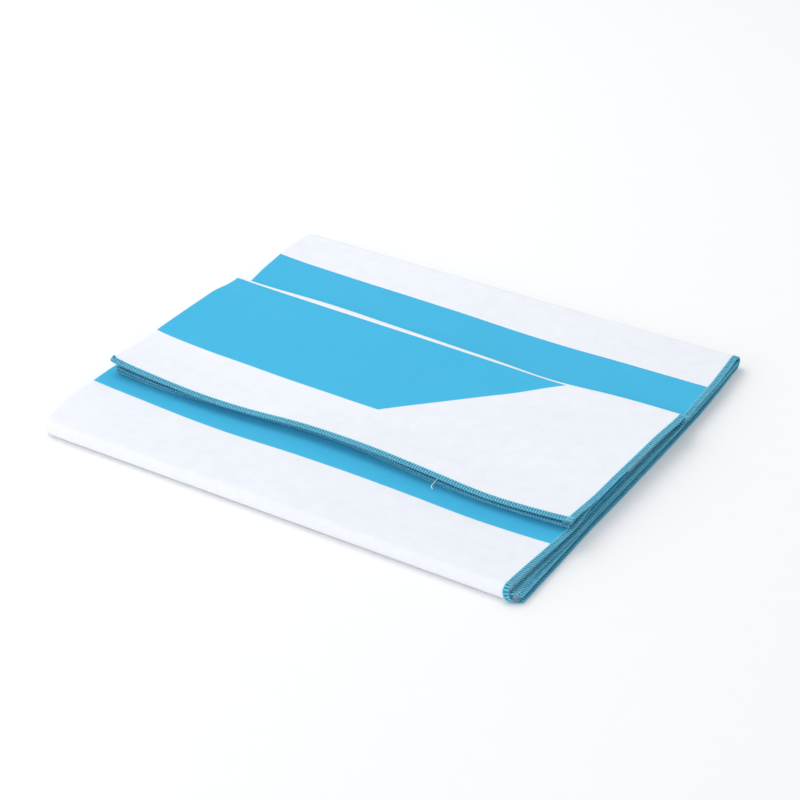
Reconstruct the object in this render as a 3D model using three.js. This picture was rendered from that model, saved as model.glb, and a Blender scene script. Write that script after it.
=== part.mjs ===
// A quick-dry towel, folded for storage: one sheet of thin microfibre cloth with an overlocked edge.
// Its length is folded zigzag into four plies. Across its width the four plies are then folded into
// a lower panel, a short tail turned forward over its back, an upper panel and a flap on top.
//
// Millimetres. +X runs along the creases, +Y from the front fold to the back fold, +Z up.
// The origin is under the middle of the folded towel.
//
// Every piece is a cross-section drawn in (x, h) and swept along the cloth's width. h is the distance
// from the outer face of the fourth ply, which lies underneath in the lower panel and in the flap,
// and on top in the upper panel and in the tail.

import * as THREE from "three";

// Plan
const FOLDED_LENGTH = 400; // along the creases: the towel's 1600 mm length in four plies
const LOWER_DEPTH = 352; // front crease line to back crease line
const UPPER_DEPTH = 246; // front crease line to the flap's crease line
const FLAP_DEPTH = 168; // the flap's crease line to its hemmed end
const TAIL_CLEARANCE = 0.6; // between the fold of the flap and the tail's hemmed end

// How far to the right each crease and end of the towel lies from a square stack
const FLAP_END_SHIFT = 2;
const FLAP_CREASE_SHIFT = 6;
const UPPER_FRONT_SHIFT = 0;
const LOWER_FRONT_SHIFT = 11;
const BACK_CREASE_SHIFT = 0;

// Cloth
const PLIES = 4;
const CLOTH = 1.1; // thickness of one ply
const PLY_GAP = 0.5; // air between the plies of one panel
const PANEL_GAP = 0.5; // air between stacked panels
const PAIR_STAGGER = 4; // how far the crease of plies 3 and 4 sits in from that of plies 1 and 2
const MIDDLE_INSET = 3; // how far the crease of plies 2 and 3 sits in from the hems

// Overlocked edge
const HEM_WIDTH = 4.7;
const HEM_THICKNESS = 1.1;

// Loose end of the overlock thread at the flap's front edge
const THREAD_DIAMETER = 0.6;
const THREAD_LENGTH = 9;
const THREAD_PLACE = 0.73; // share of the folded length from the left

// The hems stacked at the flap's end hold its plies apart there
const FLAP_END_LOFT = 1.65; // height of the flap at its end, as a share of an even panel's
const LOFT_START = 0.72; // share of the flap's depth at which it starts to rise
const LOFT_STEPS = 12;

const SEAM_GAP = 0.3; // clearance where two pieces of one layer meet
const TURN_STEPS = 6; // facets of a ply's small turn
const FOLD_STEPS = 10; // facets round a fold of all four plies

// Worked out from the above
const PLY_PITCH = CLOTH + PLY_GAP;
const PANEL = PLY_PITCH * (PLIES - 1) + CLOTH;
const LOWER_TOP = PANEL;
const UPPER_BASE = LOWER_TOP + PANEL_GAP;
const UPPER_TOP = UPPER_BASE + PANEL;
const FLAP_BASE = UPPER_TOP + PANEL_GAP;
const INNER_RADIUS = PANEL_GAP / 2;
const OUTER_RADIUS = INNER_RADIUS + PANEL;
const LEFT = -FOLDED_LENGTH / 2;
const RIGHT = FOLDED_LENGTH / 2;
const CLOTH_EDGE = RIGHT - HEM_WIDTH - SEAM_GAP;
const FLAP_END = UPPER_DEPTH - FLAP_DEPTH;
const TAIL_END = UPPER_DEPTH + SEAM_GAP + OUTER_RADIUS + TAIL_CLEARANCE;

const cloth = new THREE.MeshStandardMaterial({ name: "cloth", color: 0xf1f4fc, roughness: 0.95, metalness: 0 });
const overlock = new THREE.MeshStandardMaterial({ name: "overlock", color: 0x6fbfe0, roughness: 0.8, metalness: 0 });

// Cross-sections ----------------------------------------------------------------------------------

const plyMiddle = (ply) => CLOTH / 2 + ply * PLY_PITCH;

// One face of the zigzag sheet, from the free edge of ply 4 to the free edge of ply 1. `side` is the
// face's distance from the middle of the cloth, positive on the face that is outermost at the left.
function zigzagFace(side) {
  const points = [new THREE.Vector2(CLOTH_EDGE, plyMiddle(0) - side)];
  for (let ply = 0; ply < PLIES - 1; ply++) {
    const atLeft = ply % 2 === 0;
    const crease = atLeft ? LEFT + (ply === 0 ? PAIR_STAGGER : 0) : RIGHT - MIDDLE_INSET;
    const outward = atLeft ? -1 : 1;
    const centre = crease - (outward * (PLY_PITCH + CLOTH)) / 2;
    const radius = PLY_PITCH / 2 - outward * side;
    for (let step = 0; step <= TURN_STEPS; step++) {
      const angle = Math.PI * (step / TURN_STEPS - 0.5);
      points.push(
        new THREE.Vector2(
          centre + outward * radius * Math.cos(angle),
          plyMiddle(ply) + PLY_PITCH / 2 + radius * Math.sin(angle),
        ),
      );
    }
  }
  points.push(new THREE.Vector2(CLOTH_EDGE, plyMiddle(PLIES - 1) + side));
  return points;
}

const zigzag = new THREE.Shape([...zigzagFace(CLOTH / 2), ...zigzagFace(-CLOTH / 2).reverse()]);

// The hem along the free edge of one ply: a flat band with a rounded outer edge.
function edgeHem(ply) {
  const half = HEM_THICKNESS / 2;
  const shape = new THREE.Shape();
  shape.moveTo(RIGHT - HEM_WIDTH, plyMiddle(ply) - half);
  shape.absarc(RIGHT - half, plyMiddle(ply), half, -Math.PI / 2, Math.PI / 2, false);
  shape.lineTo(RIGHT - HEM_WIDTH, plyMiddle(ply) + half);
  shape.closePath();
  return shape;
}

// Sweeps ------------------------------------------------------------------------------------------

// A level stretch of cloth from y = from to y = to. z is `base` at h = 0, and `up` is +1 or -1. `loft`
// gives how far apart the plies stand along the stretch.
const level = ({ from, to, base, up, shift, steps = 1, loft = () => 1 }) => ({
  steps,
  place: (h, share) => [
    THREE.MathUtils.lerp(from, to, share),
    base + up * h * loft(share),
    THREE.MathUtils.lerp(shift[0], shift[1], share),
  ],
});

const risingToEnd = (share) =>
  THREE.MathUtils.lerp(1, FLAP_END_LOFT, THREE.MathUtils.smoothstep(share, LOFT_START, 1));

// Half a turn about the crease line (y, z), from its lower side to its upper one. `side` is -1 for a
// fold that bulges forward and +1 for one that bulges back. The fourth ply is on the outside of the
// fold where `outside` is true.
const turn = ({ y, z, side, outside, shift }) => ({
  steps: FOLD_STEPS,
  place: (h, share) => {
    const radius = outside ? OUTER_RADIUS - h : INNER_RADIUS + h;
    const angle = Math.PI * share;
    return [
      y + side * (SEAM_GAP + radius * Math.sin(angle)),
      z - radius * Math.cos(angle),
      THREE.MathUtils.lerp(shift[0], shift[1], share),
    ];
  },
});

// Sweeps a cross-section along a stretch.
function sweep(name, section, stretch, material) {
  const geometry = new THREE.ExtrudeGeometry(section, {
    depth: 1,
    steps: stretch.steps,
    bevelEnabled: false,
    curveSegments: TURN_STEPS,
  });
  const position = geometry.getAttribute("position");
  for (let i = 0; i < position.count; i++) {
    const [y, z, shift] = stretch.place(position.getY(i), position.getZ(i));
    position.setXYZ(i, position.getX(i) + shift, y, z);
  }
  if (signedVolume(geometry) < 0) reverseFaces(geometry);
  geometry.computeVertexNormals();
  const mesh = new THREE.Mesh(geometry, material);
  mesh.name = name;
  return mesh;
}

function signedVolume(geometry) {
  const position = geometry.getAttribute("position");
  const [a, b, c] = [new THREE.Vector3(), new THREE.Vector3(), new THREE.Vector3()];
  let sum = 0;
  for (let i = 0; i < position.count; i += 3) {
    a.fromBufferAttribute(position, i);
    b.fromBufferAttribute(position, i + 1);
    c.fromBufferAttribute(position, i + 2);
    sum += a.dot(b.cross(c)) / 6;
  }
  return sum;
}

function reverseFaces(geometry) {
  const position = geometry.getAttribute("position");
  const [first, last] = [new THREE.Vector3(), new THREE.Vector3()];
  for (let i = 0; i < position.count; i += 3) {
    first.fromBufferAttribute(position, i);
    last.fromBufferAttribute(position, i + 2);
    position.setXYZ(i, last.x, last.y, last.z);
    position.setXYZ(i + 2, first.x, first.y, first.z);
  }
}

// Stretches of the folded towel, in the order of its width ----------------------------------------

const stretches = {
  flap: level({
    from: UPPER_DEPTH,
    to: FLAP_END + HEM_WIDTH + SEAM_GAP,
    base: FLAP_BASE,
    up: 1,
    shift: [FLAP_CREASE_SHIFT, FLAP_END_SHIFT],
    steps: LOFT_STEPS,
    loft: risingToEnd,
  }),
  flap_fold: turn({
    y: UPPER_DEPTH,
    z: UPPER_TOP + INNER_RADIUS,
    side: 1,
    outside: false,
    shift: [FLAP_CREASE_SHIFT, FLAP_CREASE_SHIFT],
  }),
  upper: level({
    from: 0,
    to: UPPER_DEPTH,
    base: UPPER_TOP,
    up: -1,
    shift: [UPPER_FRONT_SHIFT, FLAP_CREASE_SHIFT],
  }),
  front_fold: turn({
    y: 0,
    z: LOWER_TOP + INNER_RADIUS,
    side: -1,
    outside: true,
    shift: [LOWER_FRONT_SHIFT, UPPER_FRONT_SHIFT],
  }),
  lower: level({
    from: 0,
    to: LOWER_DEPTH,
    base: 0,
    up: 1,
    shift: [LOWER_FRONT_SHIFT, BACK_CREASE_SHIFT],
  }),
  back_fold: turn({
    y: LOWER_DEPTH,
    z: LOWER_TOP + INNER_RADIUS,
    side: 1,
    outside: true,
    shift: [BACK_CREASE_SHIFT, BACK_CREASE_SHIFT],
  }),
  tail: level({
    from: LOWER_DEPTH,
    to: TAIL_END + HEM_WIDTH + SEAM_GAP,
    base: UPPER_TOP,
    up: -1,
    shift: [BACK_CREASE_SHIFT, BACK_CREASE_SHIFT],
  }),
};

// The hems across the two ends of the cloth's width, which follow the zigzag through all four plies.
const ends = {
  flap_end_hem: level({
    from: FLAP_END + HEM_WIDTH,
    to: FLAP_END,
    base: FLAP_BASE,
    up: 1,
    shift: [FLAP_END_SHIFT, FLAP_END_SHIFT],
    loft: () => FLAP_END_LOFT,
  }),
  tail_end_hem: level({
    from: TAIL_END + HEM_WIDTH,
    to: TAIL_END,
    base: UPPER_TOP,
    up: -1,
    shift: [BACK_CREASE_SHIFT, BACK_CREASE_SHIFT],
  }),
};

// A loose end of thread that curls down from the flap's front edge onto the upper panel.
function threadEnd() {
  const x = LEFT + THREAD_PLACE * FOLDED_LENGTH;
  const radius = THREAD_DIAMETER / 2;
  const z = UPPER_TOP + SEAM_GAP + radius;
  const y = FLAP_END - SEAM_GAP - radius;
  const bow = THREAD_LENGTH / 4;
  const path = new THREE.CatmullRomCurve3([
    new THREE.Vector3(x, y, z + bow / 2),
    new THREE.Vector3(x - bow / 2, y - bow, z),
    new THREE.Vector3(x - bow / 2, y - 2 * bow, z),
    new THREE.Vector3(x + bow / 4, y - 3 * bow, z),
  ]);
  const section = new THREE.Shape().absarc(0, 0, radius, 0, 2 * Math.PI, false);
  const geometry = new THREE.ExtrudeGeometry(section, { steps: 8, extrudePath: path, curveSegments: 4 });
  const mesh = new THREE.Mesh(geometry, cloth);
  mesh.name = "thread_end";
  return mesh;
}

// The towel ---------------------------------------------------------------------------------------

const towel = new THREE.Group();
towel.name = "folded_towel";

for (const [name, stretch] of Object.entries(stretches)) {
  towel.add(
    sweep(`${name}_cloth`, zigzag, stretch, cloth),
    sweep(`${name}_hem_ply_4`, edgeHem(0), stretch, overlock),
    sweep(`${name}_hem_ply_1`, edgeHem(PLIES - 1), stretch, overlock),
  );
}
for (const [name, stretch] of Object.entries(ends)) {
  towel.add(sweep(name, zigzag, stretch, overlock));
}
towel.add(threadEnd());

const bounds = new THREE.Box3().setFromObject(towel);
const centre = bounds.getCenter(new THREE.Vector3());
towel.position.set(-centre.x, -centre.y, -bounds.min.z);

export default towel;
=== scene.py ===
"""A folded quick-dry towel: one printed microfibre sheet with an overlocked edge."""

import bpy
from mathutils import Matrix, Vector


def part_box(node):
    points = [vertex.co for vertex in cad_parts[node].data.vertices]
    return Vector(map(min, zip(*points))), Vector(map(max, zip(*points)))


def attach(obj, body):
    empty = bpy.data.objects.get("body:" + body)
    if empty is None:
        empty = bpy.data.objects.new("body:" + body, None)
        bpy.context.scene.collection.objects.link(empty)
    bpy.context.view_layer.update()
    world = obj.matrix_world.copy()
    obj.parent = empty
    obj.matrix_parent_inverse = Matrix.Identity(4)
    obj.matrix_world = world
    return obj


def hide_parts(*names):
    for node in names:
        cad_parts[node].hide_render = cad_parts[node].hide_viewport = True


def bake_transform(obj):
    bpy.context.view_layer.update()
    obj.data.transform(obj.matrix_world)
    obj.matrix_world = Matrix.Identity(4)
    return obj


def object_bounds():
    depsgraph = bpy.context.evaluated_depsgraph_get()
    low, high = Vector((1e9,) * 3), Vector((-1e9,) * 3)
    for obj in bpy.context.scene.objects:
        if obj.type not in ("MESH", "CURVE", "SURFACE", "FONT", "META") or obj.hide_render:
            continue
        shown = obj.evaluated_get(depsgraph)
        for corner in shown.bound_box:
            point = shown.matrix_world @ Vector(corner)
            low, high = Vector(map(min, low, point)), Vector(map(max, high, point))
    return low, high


bl_info = {
    "name": "Folded quick-dry towel",
    "version": (1, 0, 0),
    "blender": (4, 5, 0),
    "location": "View3D > Sidebar > Towel",
    "description": "Builds a folded microfibre towel with printed bands and overlocked edges",
    "category": "Add Mesh",
}

import math

import bpy
import numpy as np
from bpy.props import FloatProperty, FloatVectorProperty, IntProperty, PointerProperty
from bpy.types import Operator, Panel, PropertyGroup

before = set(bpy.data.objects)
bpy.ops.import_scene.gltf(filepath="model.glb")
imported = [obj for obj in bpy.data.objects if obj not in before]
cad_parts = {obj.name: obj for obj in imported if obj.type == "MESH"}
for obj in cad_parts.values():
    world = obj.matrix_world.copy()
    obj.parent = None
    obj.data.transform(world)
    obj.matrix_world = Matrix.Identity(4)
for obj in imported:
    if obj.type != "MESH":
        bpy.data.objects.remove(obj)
cad_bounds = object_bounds()

MM = 0.001

# ---------------------------------------------------------------------------------------------------
# The folded stack, read from the frame. Heights h are measured from the outer face of the fourth ply.
# ---------------------------------------------------------------------------------------------------

PLIES = 4
LOWER_BOX, UPPER_BOX, FLAP_BOX = (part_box(n) for n in ("lower_cloth", "upper_cloth", "flap_cloth"))
PANEL = LOWER_BOX[1].z - LOWER_BOX[0].z
PANEL_GAP = UPPER_BOX[0].z - LOWER_BOX[1].z
FRONT, BACK = LOWER_BOX[0].y, LOWER_BOX[1].y
FLAP_CREASE = UPPER_BOX[1].y
FLAP_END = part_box("flap_end_hem")[0].y
TAIL_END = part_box("tail_end_hem")[0].y
HEM_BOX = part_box("back_fold_hem_ply_4")
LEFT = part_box("back_fold_cloth")[0].x
RIGHT = HEM_BOX[1].x
LENGTH = RIGHT - LEFT
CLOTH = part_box("lower_hem_ply_4")[1].z
PITCH = (PANEL - CLOTH) / (PLIES - 1)
FLAP_LOFT = (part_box("flap_end_hem")[1].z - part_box("flap_end_hem")[0].z) / PANEL
PAIR_STAGGER = 4 * MM  # how far the crease of plies 3 and 4 sits in from that of plies 1 and 2
MIDDLE_INSET = 6 * MM  # how far the crease of plies 2 and 3 sits in from the hems
LEAD = 5 * MM  # flat cloth at each side of a fold that belongs to the fold's own pieces
TUCK = 1.2 * MM  # how far the cloth of a panel and that of a lead run on inside each other
TUCKED = 0.92  # share of the thickness at the end of that
SQUEEZE = 0.5  # share of the cloth's thickness left inside the overlock
OVERHANG = 0.7 * MM  # how far the overlock stands beyond the cloth's edge
FLOOR_CLEARANCE = 0.1 * MM


def smooth(x):
    x = np.clip(x, 0.0, 1.0)
    return x * x * (3 - 2 * x)


def mix(a, b, share):
    return a + (b - a) * share


def bump(x, centre, width):
    return np.exp(-(((x - centre) / width) ** 2))


def across(x):
    """How far along the creases x is: 0 at the left crease and 1 at the hems."""
    return np.clip((x - LEFT) / LENGTH, 0.0, 1.0)


# How the stack has settled ---------------------------------------------------------------------------

# Soft hollows and swellings of the stack: (place across, place back from the front, radius, height share)
HOLLOWS = (
    (0.27, 0.060, 0.060, -0.20),
    (0.84, 0.060, 0.055, -0.20),
    (0.62, 0.300, 0.070, -0.16),
    (0.24, 0.160, 0.070, 0.07),
    (0.72, 0.235, 0.050, -0.07),
    (0.60, 0.120, 0.060, 0.03),
)
LEFT_SWELL = 0.26  # the creases at the left hold the plies apart
RIGHT_SWELL = 0.10
SWELL_REACH = 0.07  # share of the length over which both swellings die away
CREASE_FADE = 0.030  # distance over which the unevenness fades towards a crease
CREASE_REACH = 0.08  # share of the length over which the left creases' own line counts
LOFT_START = 0.72  # share of a lofted level at which it starts to rise
BUNCHING = 0.5  # how far the inner plies of a fold are pushed out against its outer ply
CREASE_SHARE = 0.25  # how much of the unevenness is left at a crease


def settle(x, y):
    """The share by which the stack stands higher or lower than an even one at (x, y)."""
    u, v = across(x), y - FRONT
    share = -0.03 + LEFT_SWELL * np.exp(-u / SWELL_REACH) + RIGHT_SWELL * np.exp(-(1 - u) / SWELL_REACH)
    for place, back, radius, height in HOLLOWS:
        distance = np.hypot((u - place) * LENGTH, v - back)
        share = share + height * np.exp(-((distance / radius) ** 2))
    share = share + 0.012 * np.sin(31 * x + 17 * y + 0.6) * np.sin(23 * y - 11 * x)
    share = share + 0.008 * np.sin(71 * x - 39 * y + 1.9) * np.sin(58 * y + 27 * x + 0.8)
    for line in (FRONT, BACK, flap_crease(x)):
        away = smooth((np.abs(y - line) - 1.2 * LEAD) / CREASE_FADE)
        share = share * mix(CREASE_SHARE, 1.0, away)
    return share


def front_crease(x):
    u = across(x)
    return FRONT + 0.008 * np.clip(1 - u / 0.03, 0, 1) ** 2


def back_crease(x):
    u = across(x)
    return BACK + mix(-4.5, 2.0, u) * MM - 0.006 * np.clip(1 - u / 0.03, 0, 1) ** 2


def flap_crease(x):
    u = across(x)
    bow = 5.5 * bump(u, 0.73, 0.11) + 2.0 * bump(u, 0.55, 0.12) - 2.5 * bump(u, 0.22, 0.12)
    return FLAP_CREASE + mix(-3.5, -1.0, u) * MM - bow * MM


def flap_end(x):
    return FLAP_END + (5.0 * bump(across(x), 0.45, 0.22) - 2.5) * MM


def tail_end(x):
    return flap_crease(x) + (TAIL_END - FLAP_CREASE)


def crossing(*points):
    """A line through listed points (back from the front in mm, sideways in mm), as a function of y."""
    back, sideways = np.array(points).T * MM
    return lambda y: np.interp(y - FRONT, back, sideways)


# Levels and turns ------------------------------------------------------------------------------------


class Level:
    """A flat panel of four plies from one line across the towel (share 0) to another (share 1).

    `right` and `left` say how far the hems of plies 4 and 1 and the left creases lie from square. The
    print reaches the distance `print_at` along the towel at `print_line` (left, right, back from the front).
    """

    def __init__(self, lines, base, up, right, left, printed, loft=1.0, set_back=None, stagger=0.2):
        self.start, self.stop = lines
        self.base, self.up = base, up
        self.right, self.left = right, left
        self.print_at, self.print_line, self.print_way, self.print_lean = printed
        self.loft = loft
        self.set_back = set_back
        self.stagger = stagger

    def length(self, x):
        return np.abs(self.stop(x) - self.start(x))

    def print_place(self, x, y, h):
        line = FRONT + mix(self.print_line[0], self.print_line[1], across(x))
        return self.print_at + self.print_way * (y - line) + self.print_lean * math.pi * h

    def place(self, x, h, share):
        stop = self.stop(x)
        if self.set_back:
            stop = stop + self.set_back(x, h)
        y = mix(self.start(x), stop, share)
        lift = mix(1.0, self.loft, smooth((share - LOFT_START) / (1 - LOFT_START)))
        z = self.base + self.up * h * lift
        z = z * (1 + settle(x, y))
        u = across(x)
        hems = mix(self.right[0](y), self.right[1](y), h / PANEL)
        inner_pair = 1 - smooth((h - 1.2 * PITCH) / (0.6 * PITCH))
        creases = self.left(y) - (1 - self.stagger) * PAIR_STAGGER * inner_pair
        moved = x + hems * u**2 + creases * np.exp(-u / CREASE_REACH)
        return moved, y, z, self.print_place(x, y, h)


class Turn:
    """Half a turn of four plies about a crease, from the level below it (share 0) to the one above it."""

    def __init__(self, line, centre, side, outside, below, above, ease=1.0):
        self.line, self.centre, self.side, self.outside = line, centre, side, outside
        self.below, self.below_share = below
        self.above, self.above_share = above
        self.ease = ease

    def radius(self, h):
        inner = PANEL_GAP / 2
        return inner + PANEL - h if self.outside else inner + h

    def place(self, x, h, share):
        low = self.below.place(x, h, self.below_share)
        high = self.above.place(x, h, self.above_share)
        radius, angle = (high[2] - low[2]) / 2, math.pi * share
        bunched = radius + BUNCHING * (self.radius(0.0 if self.outside else PANEL) - self.radius(h))
        y = self.line(x) + self.side * bunched * np.sin(angle)
        z = (low[2] + high[2]) / 2 - radius * np.cos(angle)
        moved = mix(low[0], high[0], 1 - (1 - share) ** self.ease)
        return moved, y, z, mix(low[3], high[3], share)


def flap_set_back(x, h):
    """How far each ply of the flap ends behind the top one."""
    u = across(x)
    middle = smooth((u - 0.10) / 0.15) * smooth((0.75 - u) / 0.25)
    heights = [ply_height(ply) for ply in range(PLIES)]
    backs = (
        2.0 + 5.0 * middle + 1.0 * smooth((u - 0.7) / 0.2),
        1.5 + 4.5 * middle,
        2.5 + 4.5 * middle + 2.0 * smooth((u - 0.6) / 0.2),
        0.0 * u,
    )
    total = 0.0
    for ply, back in enumerate(backs):
        near = np.clip(1 - np.abs(h - heights[ply]) / PITCH, 0, 1)
        total = total + near * back
    return total * MM


def ply_height(ply):
    """Height of the middle of a ply: 0 is the fourth ply and 3 the first."""
    return CLOTH / 2 + ply * PITCH


LOWER = Level(
    (front_crease, back_crease),
    0.0,
    1,
    (
        crossing((0, 8.5), (50, 7.5), (100, 6), (150, 6), (215, 5), (279, 3.5), (318, 1), (352, -2)),
        crossing((0, 8), (50, 6.5), (100, 5), (215, 4), (279, 2.5), (318, 1), (352, -1)),
    ),
    crossing((0, -4), (20, -8), (80, -7), (160, -1), (250, 4), (352, -1)),
    (0.4328, (0.0, 0.0), 1, 0),
)
UPPER = Level(
    (front_crease, flap_crease),
    UPPER_BOX[1].z,
    -1,
    (
        crossing((0, -1), (20, 0), (80, 3.5), (110, 0), (200, -1), (246, 3)),
        crossing((0, 3), (80, 5), (246, 4)),
    ),
    crossing((0, -4), (20, -8), (80, -7), (160, -1), (246, 2.5)),
    (0.355, (0.0575, 0.0550), -1, 1),
)
FLAP = Level(
    (flap_crease, flap_end),
    FLAP_BOX[0].z,
    1,
    (crossing((78, 0), (110, -4), (200, -4), (246, 3)), crossing((78, 4.5), (246, 7.5))),
    crossing((78, 0), (142, -1), (246, 1.5)),
    (0.055, (0.1355, 0.1305), 0.93, 0),
    loft=FLAP_LOFT,
    set_back=flap_set_back,
    stagger=1.0,
)
TAIL = Level(
    (back_crease, tail_end),
    UPPER_BOX[1].z,
    -1,
    (crossing((251, 6), (314, 3), (352, -1)), crossing((251, 4), (314, 1), (352, -1))),
    crossing((255, 6), (309, 1), (351, -1)),
    (0.855, (0.305, 0.3035), -1, -1),
)

LOW_MIDDLE = LOWER_BOX[1].z + PANEL_GAP / 2
HIGH_MIDDLE = UPPER_BOX[1].z + PANEL_GAP / 2
FRONT_FOLD = Turn(front_crease, LOW_MIDDLE, -1, True, (LOWER, 0.0), (UPPER, 0.0), ease=3.0)
BACK_FOLD = Turn(back_crease, LOW_MIDDLE, 1, True, (LOWER, 1.0), (TAIL, 0.0))
FLAP_FOLD = Turn(flap_crease, HIGH_MIDDLE, 1, False, (UPPER, 1.0), (FLAP, 0.0))

PANELS = {
    "lower": (LOWER, "lower_panel", (True, True)),
    "upper": (UPPER, "upper_panel", (True, True)),
    "flap": (FLAP, "flap", (True, False)),
    "tail": (TAIL, "tail", (True, False)),
}
FOLDS = {
    "front_fold": (FRONT_FOLD, "lower_panel", "upper_panel"),
    "back_fold": (BACK_FOLD, "lower_panel", "tail"),
    "flap_fold": (FLAP_FOLD, "upper_panel", "flap"),
}


# Cross-section of the zigzag ---------------------------------------------------------------------------


def zigzag(step):
    """The middle line of the zigzag from the fourth ply's free edge: arrays of x, h, distance, ply."""
    edge = RIGHT - OVERHANG
    creases = (LEFT + PAIR_STAGGER, RIGHT - MIDDLE_INSET, LEFT)
    rows, start = [], edge
    for ply in range(PLIES):
        way = -1 if ply % 2 == 0 else 1
        turning = ply < PLIES - 1
        stop = creases[ply] - way * PITCH / 2 if turning else edge
        count = max(2, round(abs(stop - start) / step))
        for i in range(count + (0 if turning else 1)):
            rows.append((start + (stop - start) * i / count, ply_height(ply), ply))
        if turning:
            steps = 10
            for i in range(steps):
                angle = math.pi * i / steps
                x = stop + way * PITCH / 2 * math.sin(angle)
                h = ply_height(ply) + PITCH / 2 * (1 - math.cos(angle))
                rows.append((x, h, ply if i < steps / 2 else ply + 1))
            start = stop
    line = np.array(rows)
    along = np.concatenate([[0], np.cumsum(np.hypot(np.diff(line[:, 0]), np.diff(line[:, 1])))])
    return line[:, 0], line[:, 1], along[-1] - along, line[:, 2].astype(int)


# Meshes ------------------------------------------------------------------------------------------------


def grid_faces(rows, columns, closed=False):
    i = np.arange(rows - 1)[:, None] * columns
    j = np.arange(columns if closed else columns - 1)[None, :]
    k = (j + 1) % columns
    quads = np.stack([i + j, i + k, i + columns + k, i + columns + j], axis=-1)
    return quads.reshape(-1, 4)


def new_object(name, vertices, faces, material, uv=None, smooth_faces=True):
    mesh = bpy.data.meshes.new(name)
    vertices = np.asarray(vertices, float).reshape(-1, 3)
    mesh.from_pydata(vertices.tolist(), [], np.asarray(faces).tolist())
    if uv is not None:
        layer = mesh.uv_layers.new(name="Flat")
        loops = np.zeros(len(mesh.loops), np.int32)
        mesh.loops.foreach_get("vertex_index", loops)
        layer.data.foreach_set("uv", np.asarray(uv, float).reshape(-1, 2)[loops].ravel())
    if smooth_faces:
        mesh.shade_smooth()
    mesh.materials.append(material)
    made = bpy.data.objects.new(name, mesh)
    bpy.context.scene.collection.objects.link(made)
    return made


def directions(points, axis):
    """Unit tangents of a grid of points along one of its axes."""
    step = np.gradient(points, axis=axis)
    return step / np.linalg.norm(step, axis=-1, keepdims=True)


def sheet_thickness(look, shape, free_sides, ends):
    """Thickness of the cloth over a grid: squeezed at its free sides and scaled at its ends."""
    thickness = np.full(shape, look.thickness)
    thickness[0] *= ends[0]
    thickness[-1] *= ends[1]
    for column, free in zip((0, -1), free_sides):
        if free:
            thickness[:, column] = look.thickness * SQUEEZE
    return thickness


def cloth_piece(name, rows, along, material, thickness):
    """A closed sheet through rows of (x, y, z, print place), one array of each per row."""
    middle = np.array([[row[0], row[1], row[2]] for row in rows]).transpose(0, 2, 1)
    count, columns = middle.shape[:2]
    normal = np.cross(directions(middle, 1), directions(middle, 0))
    normal /= np.linalg.norm(normal, axis=-1, keepdims=True)
    half = normal * thickness[..., None] / 2
    points = np.stack([middle + half, middle - half])
    print_place = np.array([row[3] for row in rows])
    uv = np.stack([np.broadcast_to(along, (count, columns)), print_place], axis=-1)
    face = grid_faces(count, columns)
    under = count * columns
    border = np.concatenate([
        np.arange(columns - 1),
        np.arange(count - 1) * columns + columns - 1,
        under - 1 - np.arange(columns - 1),
        (count - 1 - np.arange(count - 1)) * columns,
    ])
    ahead = np.roll(border, -1)
    rim = np.stack([border, border + under, ahead + under, ahead], axis=1)
    faces = np.concatenate([face, face[:, ::-1] + under, rim])
    made = new_object(name, points, faces, material, np.stack([uv, uv]))
    made.data.polygons.foreach_set("use_smooth", np.arange(len(faces)) < 2 * len(face))
    return made


def level_rows(level, x, h, step, leads, tuck=0.0):
    """Rows of a level between the leads of its folds, run on under the leads by `tuck`."""
    length = level.length(x)
    first = LEAD / length if leads[0] else 0.0
    last = 1 - LEAD / length if leads[1] else 1.0
    count = max(2, round(float(np.max(length)) / step))
    shares = [mix(first, last, i / count) for i in range(count + 1)]
    if tuck and leads[0]:
        shares.insert(0, first - tuck / length)
    if tuck and leads[1]:
        shares.append(last + tuck / length)
    return [level.place(x, h, share) for share in shares]


def lead_rows(level, share, x, h, tuck):
    """Rows of the flat lead at one end of a level, from its far side to the crease line."""
    length = level.length(x)
    inward = 1 if share == 0.0 else -1
    parts = (LEAD + tuck, LEAD, 0.5 * LEAD, 0.15 * LEAD) if tuck else (LEAD, 0.5 * LEAD, 0.15 * LEAD)
    return [level.place(x, h, share + inward * part / length) for part in parts]


def fold_rows(turn, x, h, steps, tuck=0.0):
    below = lead_rows(turn.below, turn.below_share, x, h, tuck)
    above = lead_rows(turn.above, turn.above_share, x, h, tuck)
    arc = [turn.place(x, h, share) for share in np.linspace(0, 1, steps + 1)]
    return below + arc + above[::-1]


def fold_reach(turn, h, margin):
    """The heights between which a ply or hem at height h turns from one body to the other."""
    reach = float(turn.radius(h))
    reach -= min(margin, 0.45 * reach)
    y = float(turn.line(np.array([0.0]))[0])
    return (0.0, y, turn.centre - reach), (0.0, y, turn.centre + reach)


# Overlock stitches ---------------------------------------------------------------------------------------


LOOPS = ((1, 1.0), (-1, 0.75))  # looped threads: way they lean, share of the thread's diameter
LOOP_LEAN = 0.55  # share of a stitch by which a loop leans
THREAD_SIDES = 5


def band_section(width, thickness, count):
    """Outline of the hem round the cloth's edge as (out, off the face): flat, with a round outer side."""
    angle = np.linspace(0, 2 * math.pi, count, endpoint=False)
    c, s = np.cos(angle), np.sin(angle)
    out = -width / 2 + width / 2 * np.sign(c) * np.abs(c) ** 0.55
    off = thickness / 2 * np.sign(s) * np.abs(s) ** 0.6
    return np.stack([out, off], axis=1)


def run_on(points, distance):
    """A line made longer at both ends."""
    first = points[0] - points[1]
    last = points[-1] - points[-2]
    head = points[0] + first / np.linalg.norm(first) * distance
    tail = points[-1] + last / np.linalg.norm(last) * distance
    return np.concatenate([head[None], points, tail[None]])


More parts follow.
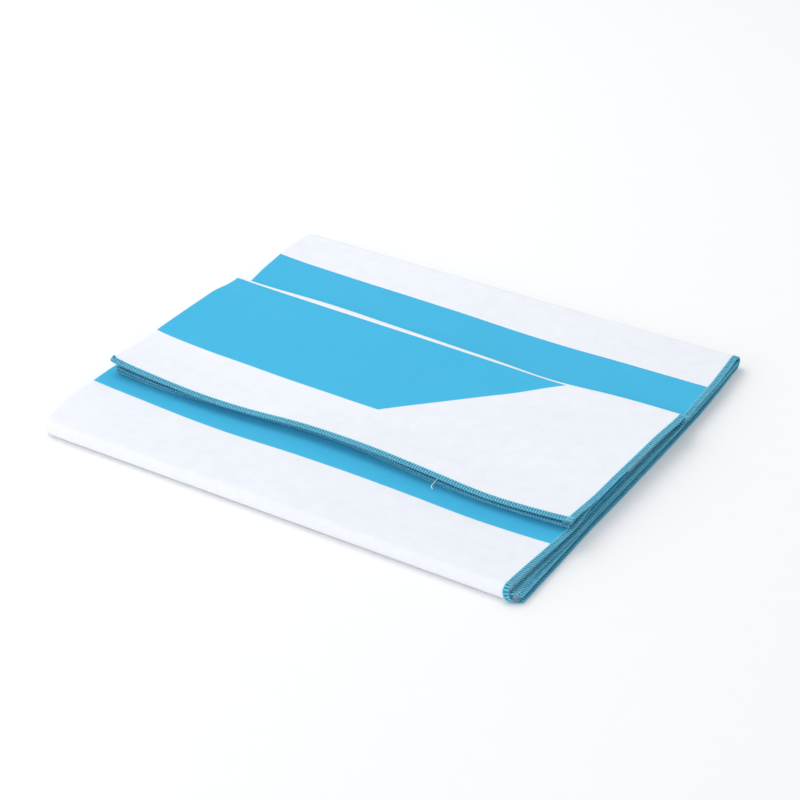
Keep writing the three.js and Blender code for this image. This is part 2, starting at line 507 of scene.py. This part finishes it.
class Edge:
    """A cloth edge measured along its length, with directions out of the cloth and off its face."""

    def __init__(self, line, inside, step, past=0.0):
        line, inside = run_on(line, past), run_on(inside, past)
        gaps = np.linalg.norm(np.diff(line, axis=0), axis=1)
        along = np.concatenate([[0], np.cumsum(gaps)])
        self.total = along[-1]
        self.at = np.linspace(0, self.total, max(3, round(self.total / step) + 1))
        self.line = self.sample(along, line, self.at)
        inner = self.sample(along, inside, self.at)
        way = directions(self.line, 0)
        face = np.cross(way, self.line - inner)
        self.face = face / np.linalg.norm(face, axis=1)[:, None]
        self.out = np.cross(self.face, way)

    @staticmethod
    def sample(along, values, at):
        return np.stack([np.interp(at, along, values[:, k]) for k in range(3)], axis=-1)

    def place(self, distance, out, off):
        """Points at distances along the edge, beyond it and off its face."""
        distance = np.clip(distance, 0, self.total)
        line, outward, face = (self.sample(self.at, v, distance) for v in (self.line, self.out, self.face))
        return line + outward * np.expand_dims(out, -1) + face * np.expand_dims(off, -1)


def hem_piece(name, edge, hem, thickness, material, core_shade_material):
    """Overlock along an edge: a dense core, looped threads round it and two rows of needle thread."""
    vertices, faces, start = [], [], 0

    def add(points, new_faces):
        nonlocal start
        vertices.append(points.reshape(-1, 3))
        faces.append(np.asarray(new_faces) + start)
        start += points.size // 3

    radius = hem.thread / 2
    outer = band_section(hem.width, thickness, 12) + (OVERHANG, 0)
    waist = 1 - 0.08 * np.cos(2 * math.pi * edge.at / hem.stitch)
    along = edge.at[:, None] + 0 * outer[None, :, 0]
    core = edge.place(along, outer[None, :, 0], outer[None, :, 1] * waist[:, None])
    count, columns = core.shape[:2]
    add(core, grid_faces(count, columns, closed=True))
    cap = np.arange(columns // 2 - 1)[:, None] + [[0, 1]]
    cap = np.stack([cap[:, 0], cap[:, 1], columns - 1 - cap[:, 1], columns - 1 - cap[:, 0]], axis=1)
    faces.append(cap[:, ::-1])
    faces.append(cap + (count - 1) * columns)
    cores = (count - 1) * columns + 2 * len(cap)
    # Looped threads: one lies straight over the edge, the other crosses it
    stitches = max(1, int(edge.total / hem.stitch))
    places = (np.arange(stitches) + 0.5) * edge.total / stitches
    for way, share in LOOPS:
        size = radius * share
        path = band_section(hem.width + size, thickness + size, 14) + (OVERHANG, 0)
        spoke = path - (OVERHANG - hem.width / 2, 0)
        spoke /= np.linalg.norm(spoke, axis=1)[:, None]
        lean = way * (path[:, 0] - OVERHANG + hem.width / 2) / hem.width * hem.stitch * LOOP_LEAN
        rings = []
        for corner in range(THREAD_SIDES):
            angle = 2 * math.pi * corner / THREAD_SIDES
            flat = path + spoke * size * math.sin(angle)
            distance = places[:, None] + lean[None] + size * math.cos(angle)
            rings.append(edge.place(distance, 0 * distance + flat[None, :, 0], 0 * distance + flat[None, :, 1]))
        rings = np.stack(rings, axis=2)
        _, n, m = rings.shape[:3]
        i, j = np.arange(n)[:, None] * m, np.arange(m)[None, :]
        after = np.roll(i, -1, axis=0)
        loop = np.stack([i + j, i + (j + 1) % m, after + (j + 1) % m, after + j], axis=-1).reshape(-1, 4)
        each = np.arange(stitches)[:, None, None] * n * m
        add(rings, (loop[None] + each).reshape(-1, 4))
    # Needle thread along the inner side on both faces
    for side in (-1, 1):
        line = []
        for corner in range(THREAD_SIDES):
            angle = 2 * math.pi * corner / THREAD_SIDES
            out = OVERHANG - hem.width + 0.5 * MM + 1.3 * radius * math.cos(angle) + 0 * edge.at
            off = side * (0.38 * thickness + radius) + 1.1 * radius * math.sin(angle)
            line.append(edge.place(edge.at, out, off + 0.12 * MM * np.sin(2 * math.pi * edge.at / hem.stitch)))
        line = np.stack(line, axis=1)
        add(line, grid_faces(*line.shape[:2], closed=True))
    points = np.concatenate(vertices)
    points[:, 2] = np.maximum(points[:, 2], FLOOR_CLEARANCE)
    made = new_object(name, points, np.concatenate(faces), material)
    # The core faces take the second, darker material: painted shade between the looped threads
    made.data.materials.append(core_shade_material)
    in_shaded_core = np.arange(len(made.data.polygons)) < cores
    made.data.polygons.foreach_set("material_index", in_shaded_core.astype(np.int32))
    return made


# Materials ---------------------------------------------------------------------------------------------


class Nodes:
    """Adds and joins the shader nodes of one new material."""

    def __init__(self, name):
        self.material = bpy.data.materials.new(name)
        self.material.use_nodes = True
        self.tree = self.material.node_tree
        self.shader = self.tree.nodes["Principled BSDF"]

    def add(self, kind, **values):
        node = self.tree.nodes.new(kind)
        for key, value in values.items():
            setattr(node, key, value)
        return node

    def join(self, value, socket):
        if isinstance(value, bpy.types.NodeSocket):
            self.tree.links.new(value, socket)
        else:
            socket.default_value = value

    def math(self, operation, a, b=0.0, clamp=False):
        node = self.add("ShaderNodeMath", operation=operation, use_clamp=clamp)
        self.join(a, node.inputs[0])
        self.join(b, node.inputs[1])
        return node.outputs[0]

    def noise(self, vector, scale, detail=2.0, roughness=0.5):
        node = self.add("ShaderNodeTexNoise")
        self.join(vector, node.inputs["Vector"])
        node.inputs["Scale"].default_value = scale
        node.inputs["Detail"].default_value = detail
        node.inputs["Roughness"].default_value = roughness
        return node.outputs["Fac"]

    def colour_mix(self, share, a, b, blend="MIX"):
        node = self.add("ShaderNodeMix", data_type="RGBA", blend_type=blend)
        self.join(share, node.inputs[0])
        self.join(a, node.inputs[6])
        self.join(b, node.inputs[7])
        return node.outputs[2]

    def spread(self, value, low, high, to_low, to_high):
        node = self.add("ShaderNodeMapRange")
        self.join(value, node.inputs[0])
        for i, number in enumerate((low, high, to_low, to_high)):
            node.inputs[i + 1].default_value = number
        return node.outputs[0]

    def bump(self, height, distance, strength, normal=None):
        node = self.add("ShaderNodeBump")
        node.inputs["Distance"].default_value = distance
        node.inputs["Strength"].default_value = strength
        self.join(height, node.inputs["Height"])
        if normal is not None:
            self.join(normal, node.inputs["Normal"])
        return node.outputs["Normal"]


def printed_cloth(look):
    """Brushed microfibre, white with printed bands, laid out in the flat cloth's own metres."""
    n = Nodes("Printed microfibre")
    flat = n.add("ShaderNodeUVMap", uv_map="Flat").outputs["UV"]
    split = n.add("ShaderNodeSeparateXYZ")
    n.join(flat, split.inputs[0])
    s, t = split.outputs[0], split.outputs[1]
    # Print: the ink edge wanders a little between the fibres
    ragged = n.math("MULTIPLY", n.math("SUBTRACT", n.noise(flat, 900.0, 2.0), 0.5), 0.0006)
    place = n.math("ADD", t, ragged)
    past = n.math("SUBTRACT", place, look.border)
    cycle = n.math("MULTIPLY", n.math("FRACT", n.math("DIVIDE", past, 2 * look.band)), 2 * look.band)
    soft = 0.0004
    rising = n.spread(cycle, -soft, soft, 0.0, 1.0)
    falling = n.spread(cycle, look.band - soft, look.band + soft, 1.0, 0.0)
    inked = n.math("MULTIPLY", n.math("MULTIPLY", rising, falling), n.spread(past, -soft, soft, 0.0, 1.0))
    corner = n.math("ADD", n.math("ADD", s, t), ragged)
    inked = n.math("MULTIPLY", inked, n.spread(corner, look.corner - soft, look.corner + soft, 0.0, 1.0))
    # Fibre: a fine interlock knit under a short brushed nap
    weave = n.add("ShaderNodeVectorMath", operation="SCALE")
    n.join(flat, weave.inputs[0])
    weave.inputs["Scale"].default_value = 2 * math.pi / look.knit
    knit_split = n.add("ShaderNodeSeparateXYZ")
    n.join(weave.outputs[0], knit_split.inputs[0])
    wander = n.math("MULTIPLY", n.noise(flat, 500.0, 2.0), 3.0)
    rib = n.math("SINE", n.math("ADD", knit_split.outputs[0], wander))
    course = n.math("SINE", n.math("ADD", knit_split.outputs[1], wander))
    knit = n.math("MULTIPLY", rib, course)
    nap = n.noise(flat, 2600.0, 3.0, 0.65)
    brushed = n.noise(flat, 90.0, 4.0, 0.6)
    broad = n.noise(flat, 14.0, 3.0, 0.5)
    # Colour
    tone = n.colour_mix(inked, (*look.white, 1), (*look.blue, 1))
    shade = n.math("ADD", n.spread(brushed, 0.3, 0.7, -0.5, 0.5), n.spread(nap, 0.3, 0.7, -0.5, 0.5))
    shade = n.math("ADD", n.math("MULTIPLY", shade, 0.045), n.math("MULTIPLY", knit, 0.012))
    bright = n.math("ADD", n.math("ADD", 1.0, shade), n.spread(broad, 0.3, 0.7, -0.012, 0.012))
    scaled = n.add("ShaderNodeVectorMath", operation="SCALE")
    n.join(tone, scaled.inputs[0])
    n.join(bright, scaled.inputs["Scale"])
    n.join(scaled.outputs[0], n.shader.inputs["Base Color"])
    n.join(n.spread(brushed, 0.3, 0.7, 0.84, 0.98), n.shader.inputs["Roughness"])
    n.shader.inputs["Sheen Weight"].default_value = 0.12
    n.shader.inputs["Sheen Roughness"].default_value = 0.45
    n.shader.inputs["Specular IOR Level"].default_value = 0.25
    # Relief
    fibres = n.math("ADD", n.math("MULTIPLY", knit, 0.35), n.math("MULTIPLY", nap, 0.9))
    fine = n.bump(fibres, 0.00022, 0.55)
    n.join(n.bump(brushed, 0.0005, 0.3, fine), n.shader.inputs["Normal"])
    return n.material


def stitching_thread(name, colour, depth):
    """Textured polyester overlock thread with a fine twist."""
    n = Nodes(name)
    where = n.add("ShaderNodeTexCoord").outputs["Object"]
    twist = n.noise(where, 1900.0, 3.0, 0.6)
    clumps = n.noise(where, 420.0, 2.0, 0.5)
    worn = n.noise(where, 35.0, 2.0, 0.5)
    dark = tuple(c * depth for c in colour)
    light = tuple(min(1.0, c * 1.25 + 0.03) for c in colour)
    tone = n.colour_mix(n.spread(clumps, 0.3, 0.7, 0.0, 1.0), (*dark, 1), (*colour, 1))
    tone = n.colour_mix(n.spread(twist, 0.5, 0.75, 0.0, 0.8), tone, (*light, 1))
    tone = n.colour_mix(n.spread(worn, 0.45, 0.75, 0.0, 0.18), tone, (*light, 1))
    n.join(tone, n.shader.inputs["Base Color"])
    n.join(n.spread(twist, 0.3, 0.7, 0.62, 0.85), n.shader.inputs["Roughness"])
    n.shader.inputs["Sheen Weight"].default_value = 0.15
    n.shader.inputs["Sheen Roughness"].default_value = 0.4
    n.shader.inputs["Specular IOR Level"].default_value = 0.35
    n.join(n.bump(twist, 0.0002, 0.6), n.shader.inputs["Normal"])
    return n.material


def studio_floor(colour):
    """Matt paper sweep, barely uneven."""
    n = Nodes("Studio floor")
    where = n.add("ShaderNodeTexCoord").outputs["Object"]
    grain = n.noise(where, 60.0, 3.0)
    near = tuple(0.985 * c for c in colour)
    n.join(n.colour_mix(grain, (*near, 1), (*colour, 1)), n.shader.inputs["Base Color"])
    n.shader.inputs["Roughness"].default_value = 0.95
    n.shader.inputs["Specular IOR Level"].default_value = 0.1
    return n.material


def material(name, make, *values):
    return bpy.data.materials.get(name) or make(*values)


def cloth_material(look):
    return material("Printed microfibre", printed_cloth, look)


def hem_materials(hem):
    loops = material("Overlock thread", stitching_thread, "Overlock thread", tuple(hem.colour), 0.8)
    # The core's material carries painted shade: its darker thread colour stands in for the shade between the
    # looped threads
    core = material("Overlock core", stitching_thread, "Overlock core", tuple(hem.core_shade_colour), 0.6)
    return loops, core


# ---------------------------------------------------------------------------------------------------
# Settings
# ---------------------------------------------------------------------------------------------------


class TowelClothSettings(PropertyGroup):
    """The cloth and its print"""

    white: FloatVectorProperty(
        name="White", description="Colour of the unprinted cloth",
        subtype="COLOR", default=(0.86, 0.88, 0.93),
    )
    blue: FloatVectorProperty(
        name="Blue", description="Colour of the printed bands",
        subtype="COLOR", default=(0.046, 0.475, 0.755),
    )
    thickness: FloatProperty(
        name="Ply thickness", description="Thickness of one ply",
        unit="LENGTH", default=0.9 * MM, precision=5,
    )
    border: FloatProperty(
        name="Border", description="White border at the towel's hemmed end",
        unit="LENGTH", default=0.055,
    )
    band: FloatProperty(
        name="Band", description="Width of each printed band and of the white between",
        unit="LENGTH", default=0.1,
    )
    corner: FloatProperty(
        name="Corner", description="Side of the unprinted corner triangle",
        unit="LENGTH", default=0.249,
    )
    knit: FloatProperty(
        name="Knit pitch", description="Pitch of the knit",
        unit="LENGTH", default=0.7 * MM, precision=5,
    )
    grid: FloatProperty(
        name="Mesh step", description="Spacing of the cloth's mesh",
        unit="LENGTH", default=5 * MM, precision=4,
    )
    fold_steps: IntProperty(name="Fold steps", description="Mesh steps round a fold", default=18, min=6)


class TowelHemSettings(PropertyGroup):
    """The overlocked edge"""

    width: FloatProperty(
        name="Width", description="Width of the overlocked edge",
        unit="LENGTH", default=5.0 * MM, precision=5,
    )
    thickness: FloatProperty(
        name="Thickness", description="Thickness of the edge",
        unit="LENGTH", default=0.95 * MM, precision=5,
    )
    stitch: FloatProperty(
        name="Stitch", description="Length of one stitch",
        unit="LENGTH", default=2.2 * MM, precision=5,
    )
    thread: FloatProperty(
        name="Thread", description="Diameter of the looped thread",
        unit="LENGTH", default=0.5 * MM, precision=5,
    )
    colour: FloatVectorProperty(
        name="Colour", description="Colour of the looped threads",
        subtype="COLOR", default=(0.22, 0.73, 0.93),
    )
    # Painted shade: the core between the looped threads gets a darker colour that stands in for the shade there
    core_shade_colour: FloatVectorProperty(
        name="Core shade colour", description="Colour between the threads",
        subtype="COLOR", default=(0.035, 0.27, 0.44),
    )


class TowelThreadSettings(PropertyGroup):
    """The loose thread end"""

    diameter: FloatProperty(
        name="Diameter", description="Thickness of the loose end",
        unit="LENGTH", default=0.6 * MM, precision=5,
    )
    colour: FloatVectorProperty(
        name="Colour", description="Colour of the loose end",
        subtype="COLOR", default=(0.85, 0.86, 0.88),
    )


class TowelStageSettings(PropertyGroup):
    """Floor, light and camera"""

    floor: FloatVectorProperty(
        name="Floor", description="Colour of the floor", subtype="COLOR", default=(0.95, 0.95, 0.95)
    )
    lens: FloatProperty(name="Lens", description="Focal length", unit="CAMERA", default=115.5)
    key: FloatProperty(name="Key light", description="Power of the key light", unit="POWER", default=9.0)
    fill: FloatProperty(
        name="Front light", description="Power of the low light in front",
        unit="POWER", default=9.0,
    )
    world: FloatProperty(name="Surround", description="Strength of the white surround", default=0.82)


# ---------------------------------------------------------------------------------------------------
# Pieces
# ---------------------------------------------------------------------------------------------------


class TOWEL_OT_panels(Operator):
    """Make the cloth of the four flat panels"""

    bl_idname = "towel.panels"
    bl_label = "Cloth panels"

    def execute(self, context):
        look = context.scene.towel_cloth
        x, h, along, _ = zigzag(look.grid)
        for name, (level, body, leads) in PANELS.items():
            rows = level_rows(level, x, h, look.grid, leads, TUCK)
            ends = [TUCKED if tucked else SQUEEZE for tucked in leads]
            thickness = sheet_thickness(look, (len(rows), len(x)), (True, True), ends)
            piece = cloth_piece(f"{name}_panel_cloth", rows, along, cloth_material(look), thickness)
            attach(piece, body)
            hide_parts(f"{name}_cloth")
        return {"FINISHED"}


class TOWEL_OT_folds(Operator):
    """Make the cloth of each ply where it goes round a fold"""

    bl_idname = "towel.folds"
    bl_label = "Cloth folds"

    def execute(self, context):
        look = context.scene.towel_cloth
        steps = look.fold_steps
        x, h, along, plies = zigzag(look.grid)
        for name, (turn, below, above) in FOLDS.items():
            for ply in range(PLIES):
                found = np.flatnonzero(plies == ply)
                columns = slice(found[0], min(found[-1] + 2, len(x)))
                rows = fold_rows(turn, x[columns], h[columns], steps, TUCK)
                label = f"{name}_cloth_ply_{PLIES - ply}"
                edges = (ply == 0, ply == PLIES - 1)
                thickness = sheet_thickness(look, (len(rows), len(x[columns])), edges, (TUCKED, TUCKED))
                piece = cloth_piece(label, rows, along[columns], cloth_material(look), thickness)
                height = ply_height(ply)
                start, end = fold_reach(turn, height, 1.0 * MM)
                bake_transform(piece)
                if ply == 0:
                    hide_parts(f"{name}_cloth")
        return {"FINISHED"}


class TOWEL_OT_side_hems(Operator):
    """Make the overlock along both free side edges, through the panels and folds"""

    bl_idname = "towel.side_hems"
    bl_label = "Side hems"

    def execute(self, context):
        hem, look = context.scene.towel_hem, context.scene.towel_cloth
        steps = look.fold_steps
        x, h, _, _ = zigzag(look.grid)
        for ply, column in ((4, 0), (1, len(x) - 1)):
            edge_x = np.array([x[column], x[column] - 2 * MM])
            edge_h = np.full(2, h[column])
            for name, (level, body, leads) in PANELS.items():
                rows = np.array(level_rows(level, edge_x, edge_h, 4 * MM, leads))
                past = OVERHANG if name == "flap" else 0.0
                piece = self.hem(f"{name}_hem_ply_{ply}", rows, hem, 1.0 * MM, past)
                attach(piece, body)
                self.finish(piece)
            for name, (turn, below, above) in FOLDS.items():
                rows = np.array(fold_rows(turn, edge_x, edge_h, steps))
                piece = self.hem(f"{name}_hem_ply_{ply}", rows, hem, 0.5 * MM)
                start, end = fold_reach(turn, h[column], 1.2 * MM)
                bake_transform(piece)
                self.finish(piece)
        return {"FINISHED"}

    @staticmethod
    def hem(name, rows, hem, step, past=0.0):
        edge = Edge(rows[:, :3, 0], rows[:, :3, 1], step, past)
        return hem_piece(name + "_stitches", edge, hem, hem.thickness, *hem_materials(hem))

    @staticmethod
    def finish(piece):
        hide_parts(piece.name.removesuffix("_stitches"))


class TOWEL_OT_end_hems(Operator):
    """Make the overlock across the towel's two ends, through all four plies"""

    bl_idname = "towel.end_hems"
    bl_label = "End hems"

    def execute(self, context):
        hem, look = context.scene.towel_hem, context.scene.towel_cloth
        x, h, _, _ = zigzag(look.grid)
        for name, level, body in (("flap_end_hem", FLAP, "flap"), ("tail_end_hem", TAIL, "tail")):
            length = level.length(x)
            line = np.array(level.place(x, h, 1.0)[:3]).T
            inside = np.array(level.place(x, h, 1.0 - 2 * MM / length)[:3]).T
            edge = Edge(line, inside, 0.5 * MM, OVERHANG)
            thickness = hem.thickness * mix(1.0, level.loft, 0.5)
            piece = hem_piece(name + "_stitches", edge, hem, thickness, *hem_materials(hem))
            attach(piece, body)
            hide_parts(name)
        return {"FINISHED"}


class TOWEL_OT_thread_end(Operator):
    """Make the loose end of thread that curls down from the flap's front edge"""

    bl_idname = "towel.thread_end"
    bl_label = "Loose thread end"

    def execute(self, context):
        settings = context.scene.towel_thread
        low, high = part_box("thread_end")
        middle = (low + high) / 2
        curve = bpy.data.curves.new("loose_thread_end", "CURVE")
        curve.dimensions = "3D"
        curve.bevel_depth = settings.diameter / 2
        curve.bevel_resolution = 3
        curve.use_fill_caps = True
        spline = curve.splines.new("BEZIER")
        points = (
            (middle.x, high.y + 2 * MM, high.z + 2 * MM),
            (middle.x - 1.2 * MM, high.y - 2.5 * MM, middle.z + 0.4 * MM),
            (low.x, middle.y - 1 * MM, middle.z),
            (high.x, low.y, low.z + 0.3 * MM),
        )
        spline.bezier_points.add(len(points) - 1)
        for point, place in zip(spline.bezier_points, points):
            point.co = place
            point.handle_left_type = point.handle_right_type = "AUTO"
        piece = bpy.data.objects.new("loose_thread_end", curve)
        context.scene.collection.objects.link(piece)
        colour = tuple(settings.colour)
        curve.materials.append(material("Loose thread", stitching_thread, "Loose thread", colour, 0.9))
        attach(piece, "flap")
        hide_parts("thread_end")
        return {"FINISHED"}


class TOWEL_OT_stage(Operator):
    """Set out the floor, the lights and the camera"""

    bl_idname = "towel.stage"
    bl_label = "Stage"

    def execute(self, context):
        stage, scene = context.scene.towel_stage, context.scene
        self.floor(stage)
        self.lights(stage)
        self.camera(stage, scene)
        scene.view_settings.view_transform = "Standard"
        return {"FINISHED"}

    @staticmethod
    def floor(stage):
        half = 6.0
        corners = [(-half, -half, 0), (half, -half, 0), (half, half, 0), (-half, half, 0)]
        floor = new_object("floor", corners, [[0, 1, 2, 3]], studio_floor(tuple(stage.floor)))

    @staticmethod
    def lights(stage):
        middle = (cad_bounds[0] + cad_bounds[1]) / 2
        setups = (
            ("key_light", (-0.9, 0.2, 1.6), 1.2, stage.key),
            ("front_light", (-0.5, -1.9, 0.6), 1.4, stage.fill),
        )
        for name, place, size, power in setups:
            light = bpy.data.lights.new(name, "AREA")
            light.shape = "DISK"
            light.size = size
            light.energy = power
            lamp = bpy.data.objects.new(name, light)
            lamp.location = place
            lamp.rotation_euler = (middle - lamp.location).to_track_quat("-Z", "Y").to_euler()
            bpy.context.scene.collection.objects.link(lamp)
        world = bpy.data.worlds.new("Studio")
        world.use_nodes = True
        background = world.node_tree.nodes["Background"]
        background.inputs["Color"].default_value = (0.97, 0.98, 1.0, 1)
        background.inputs["Strength"].default_value = stage.world
        bpy.context.scene.world = world

    @staticmethod
    def camera(stage, scene):
        data = bpy.data.cameras.new("camera")
        data.lens = stage.lens
        data.clip_start, data.clip_end = 0.05, 50
        camera = bpy.data.objects.new("camera", data)
        camera.location = (LEFT + 1.0844, FRONT - 1.2439, UPPER_BOX[1].z + 1.0267)
        camera.rotation_euler = (math.radians(90 - 31.79), 0, math.radians(31.93))
        scene.collection.objects.link(camera)
        scene.camera = camera


class TOWEL_PT_sidebar(Panel):
    """Settings and steps of the folded towel"""

    bl_idname = "TOWEL_PT_sidebar"
    bl_label = "Folded towel"
    bl_space_type = "VIEW_3D"
    bl_region_type = "UI"
    bl_category = "Towel"

    def draw(self, context):
        for group, steps in SIDEBAR:
            box = self.layout.box()
            settings = getattr(context.scene, group)
            for key in settings.bl_rna.properties.keys():
                if key not in ("rna_type", "name"):
                    box.prop(settings, key)
            for step in steps:
                box.operator(step.bl_idname)


SIDEBAR = (
    ("towel_cloth", (TOWEL_OT_panels, TOWEL_OT_folds)),
    ("towel_hem", (TOWEL_OT_side_hems, TOWEL_OT_end_hems)),
    ("towel_thread", (TOWEL_OT_thread_end,)),
    ("towel_stage", (TOWEL_OT_stage,)),
)
SETTINGS = {
    "towel_cloth": TowelClothSettings,
    "towel_hem": TowelHemSettings,
    "towel_thread": TowelThreadSettings,
    "towel_stage": TowelStageSettings,
}
CLASSES = (*SETTINGS.values(), *(step for _, steps in SIDEBAR for step in steps), TOWEL_PT_sidebar)


def register():
    for made in CLASSES:
        bpy.utils.register_class(made)
    for name, group in SETTINGS.items():
        setattr(bpy.types.Scene, name, PointerProperty(type=group))


def unregister():
    for name in SETTINGS:
        delattr(bpy.types.Scene, name)
    for made in reversed(CLASSES):
        bpy.utils.unregister_class(made)


def main():
    register()
    bpy.ops.towel.stage()
    bpy.ops.towel.panels()
    bpy.ops.towel.folds()
    bpy.ops.towel.side_hems()
    bpy.ops.towel.end_hems()
    bpy.ops.towel.thread_end()


if __name__ == "__main__":
    main()
